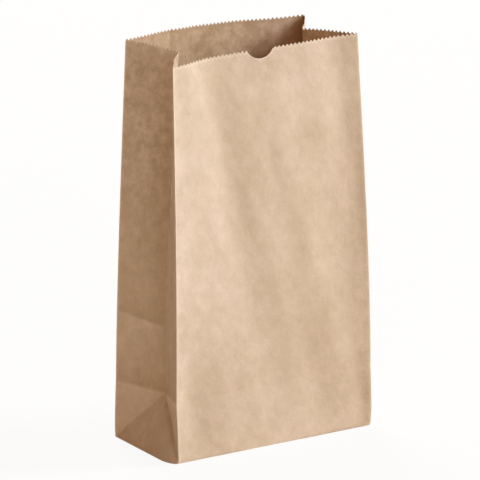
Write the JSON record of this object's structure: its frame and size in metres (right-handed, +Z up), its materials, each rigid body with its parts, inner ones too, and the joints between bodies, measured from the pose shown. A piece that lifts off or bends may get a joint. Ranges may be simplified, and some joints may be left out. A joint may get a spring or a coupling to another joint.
{
  "type": "paper bag",
  "caption": "Brown kraft paper bag standing open: square bottom, side gussets, pinked mouth and a thumb notch in the front.",
  "frame": {"origin": "middle of the base, on the surface the bag stands on", "axes": "+Z up, -Y out of the notched front panel"},
  "size_m": [0.1678, 0.1026, 0.2843],
  "materials": {
    "kraft_paper": "matt"
  },
  "bodies": {
    "root": {"paper_bag": "kraft_paper"}
  },
  "joints": []
}
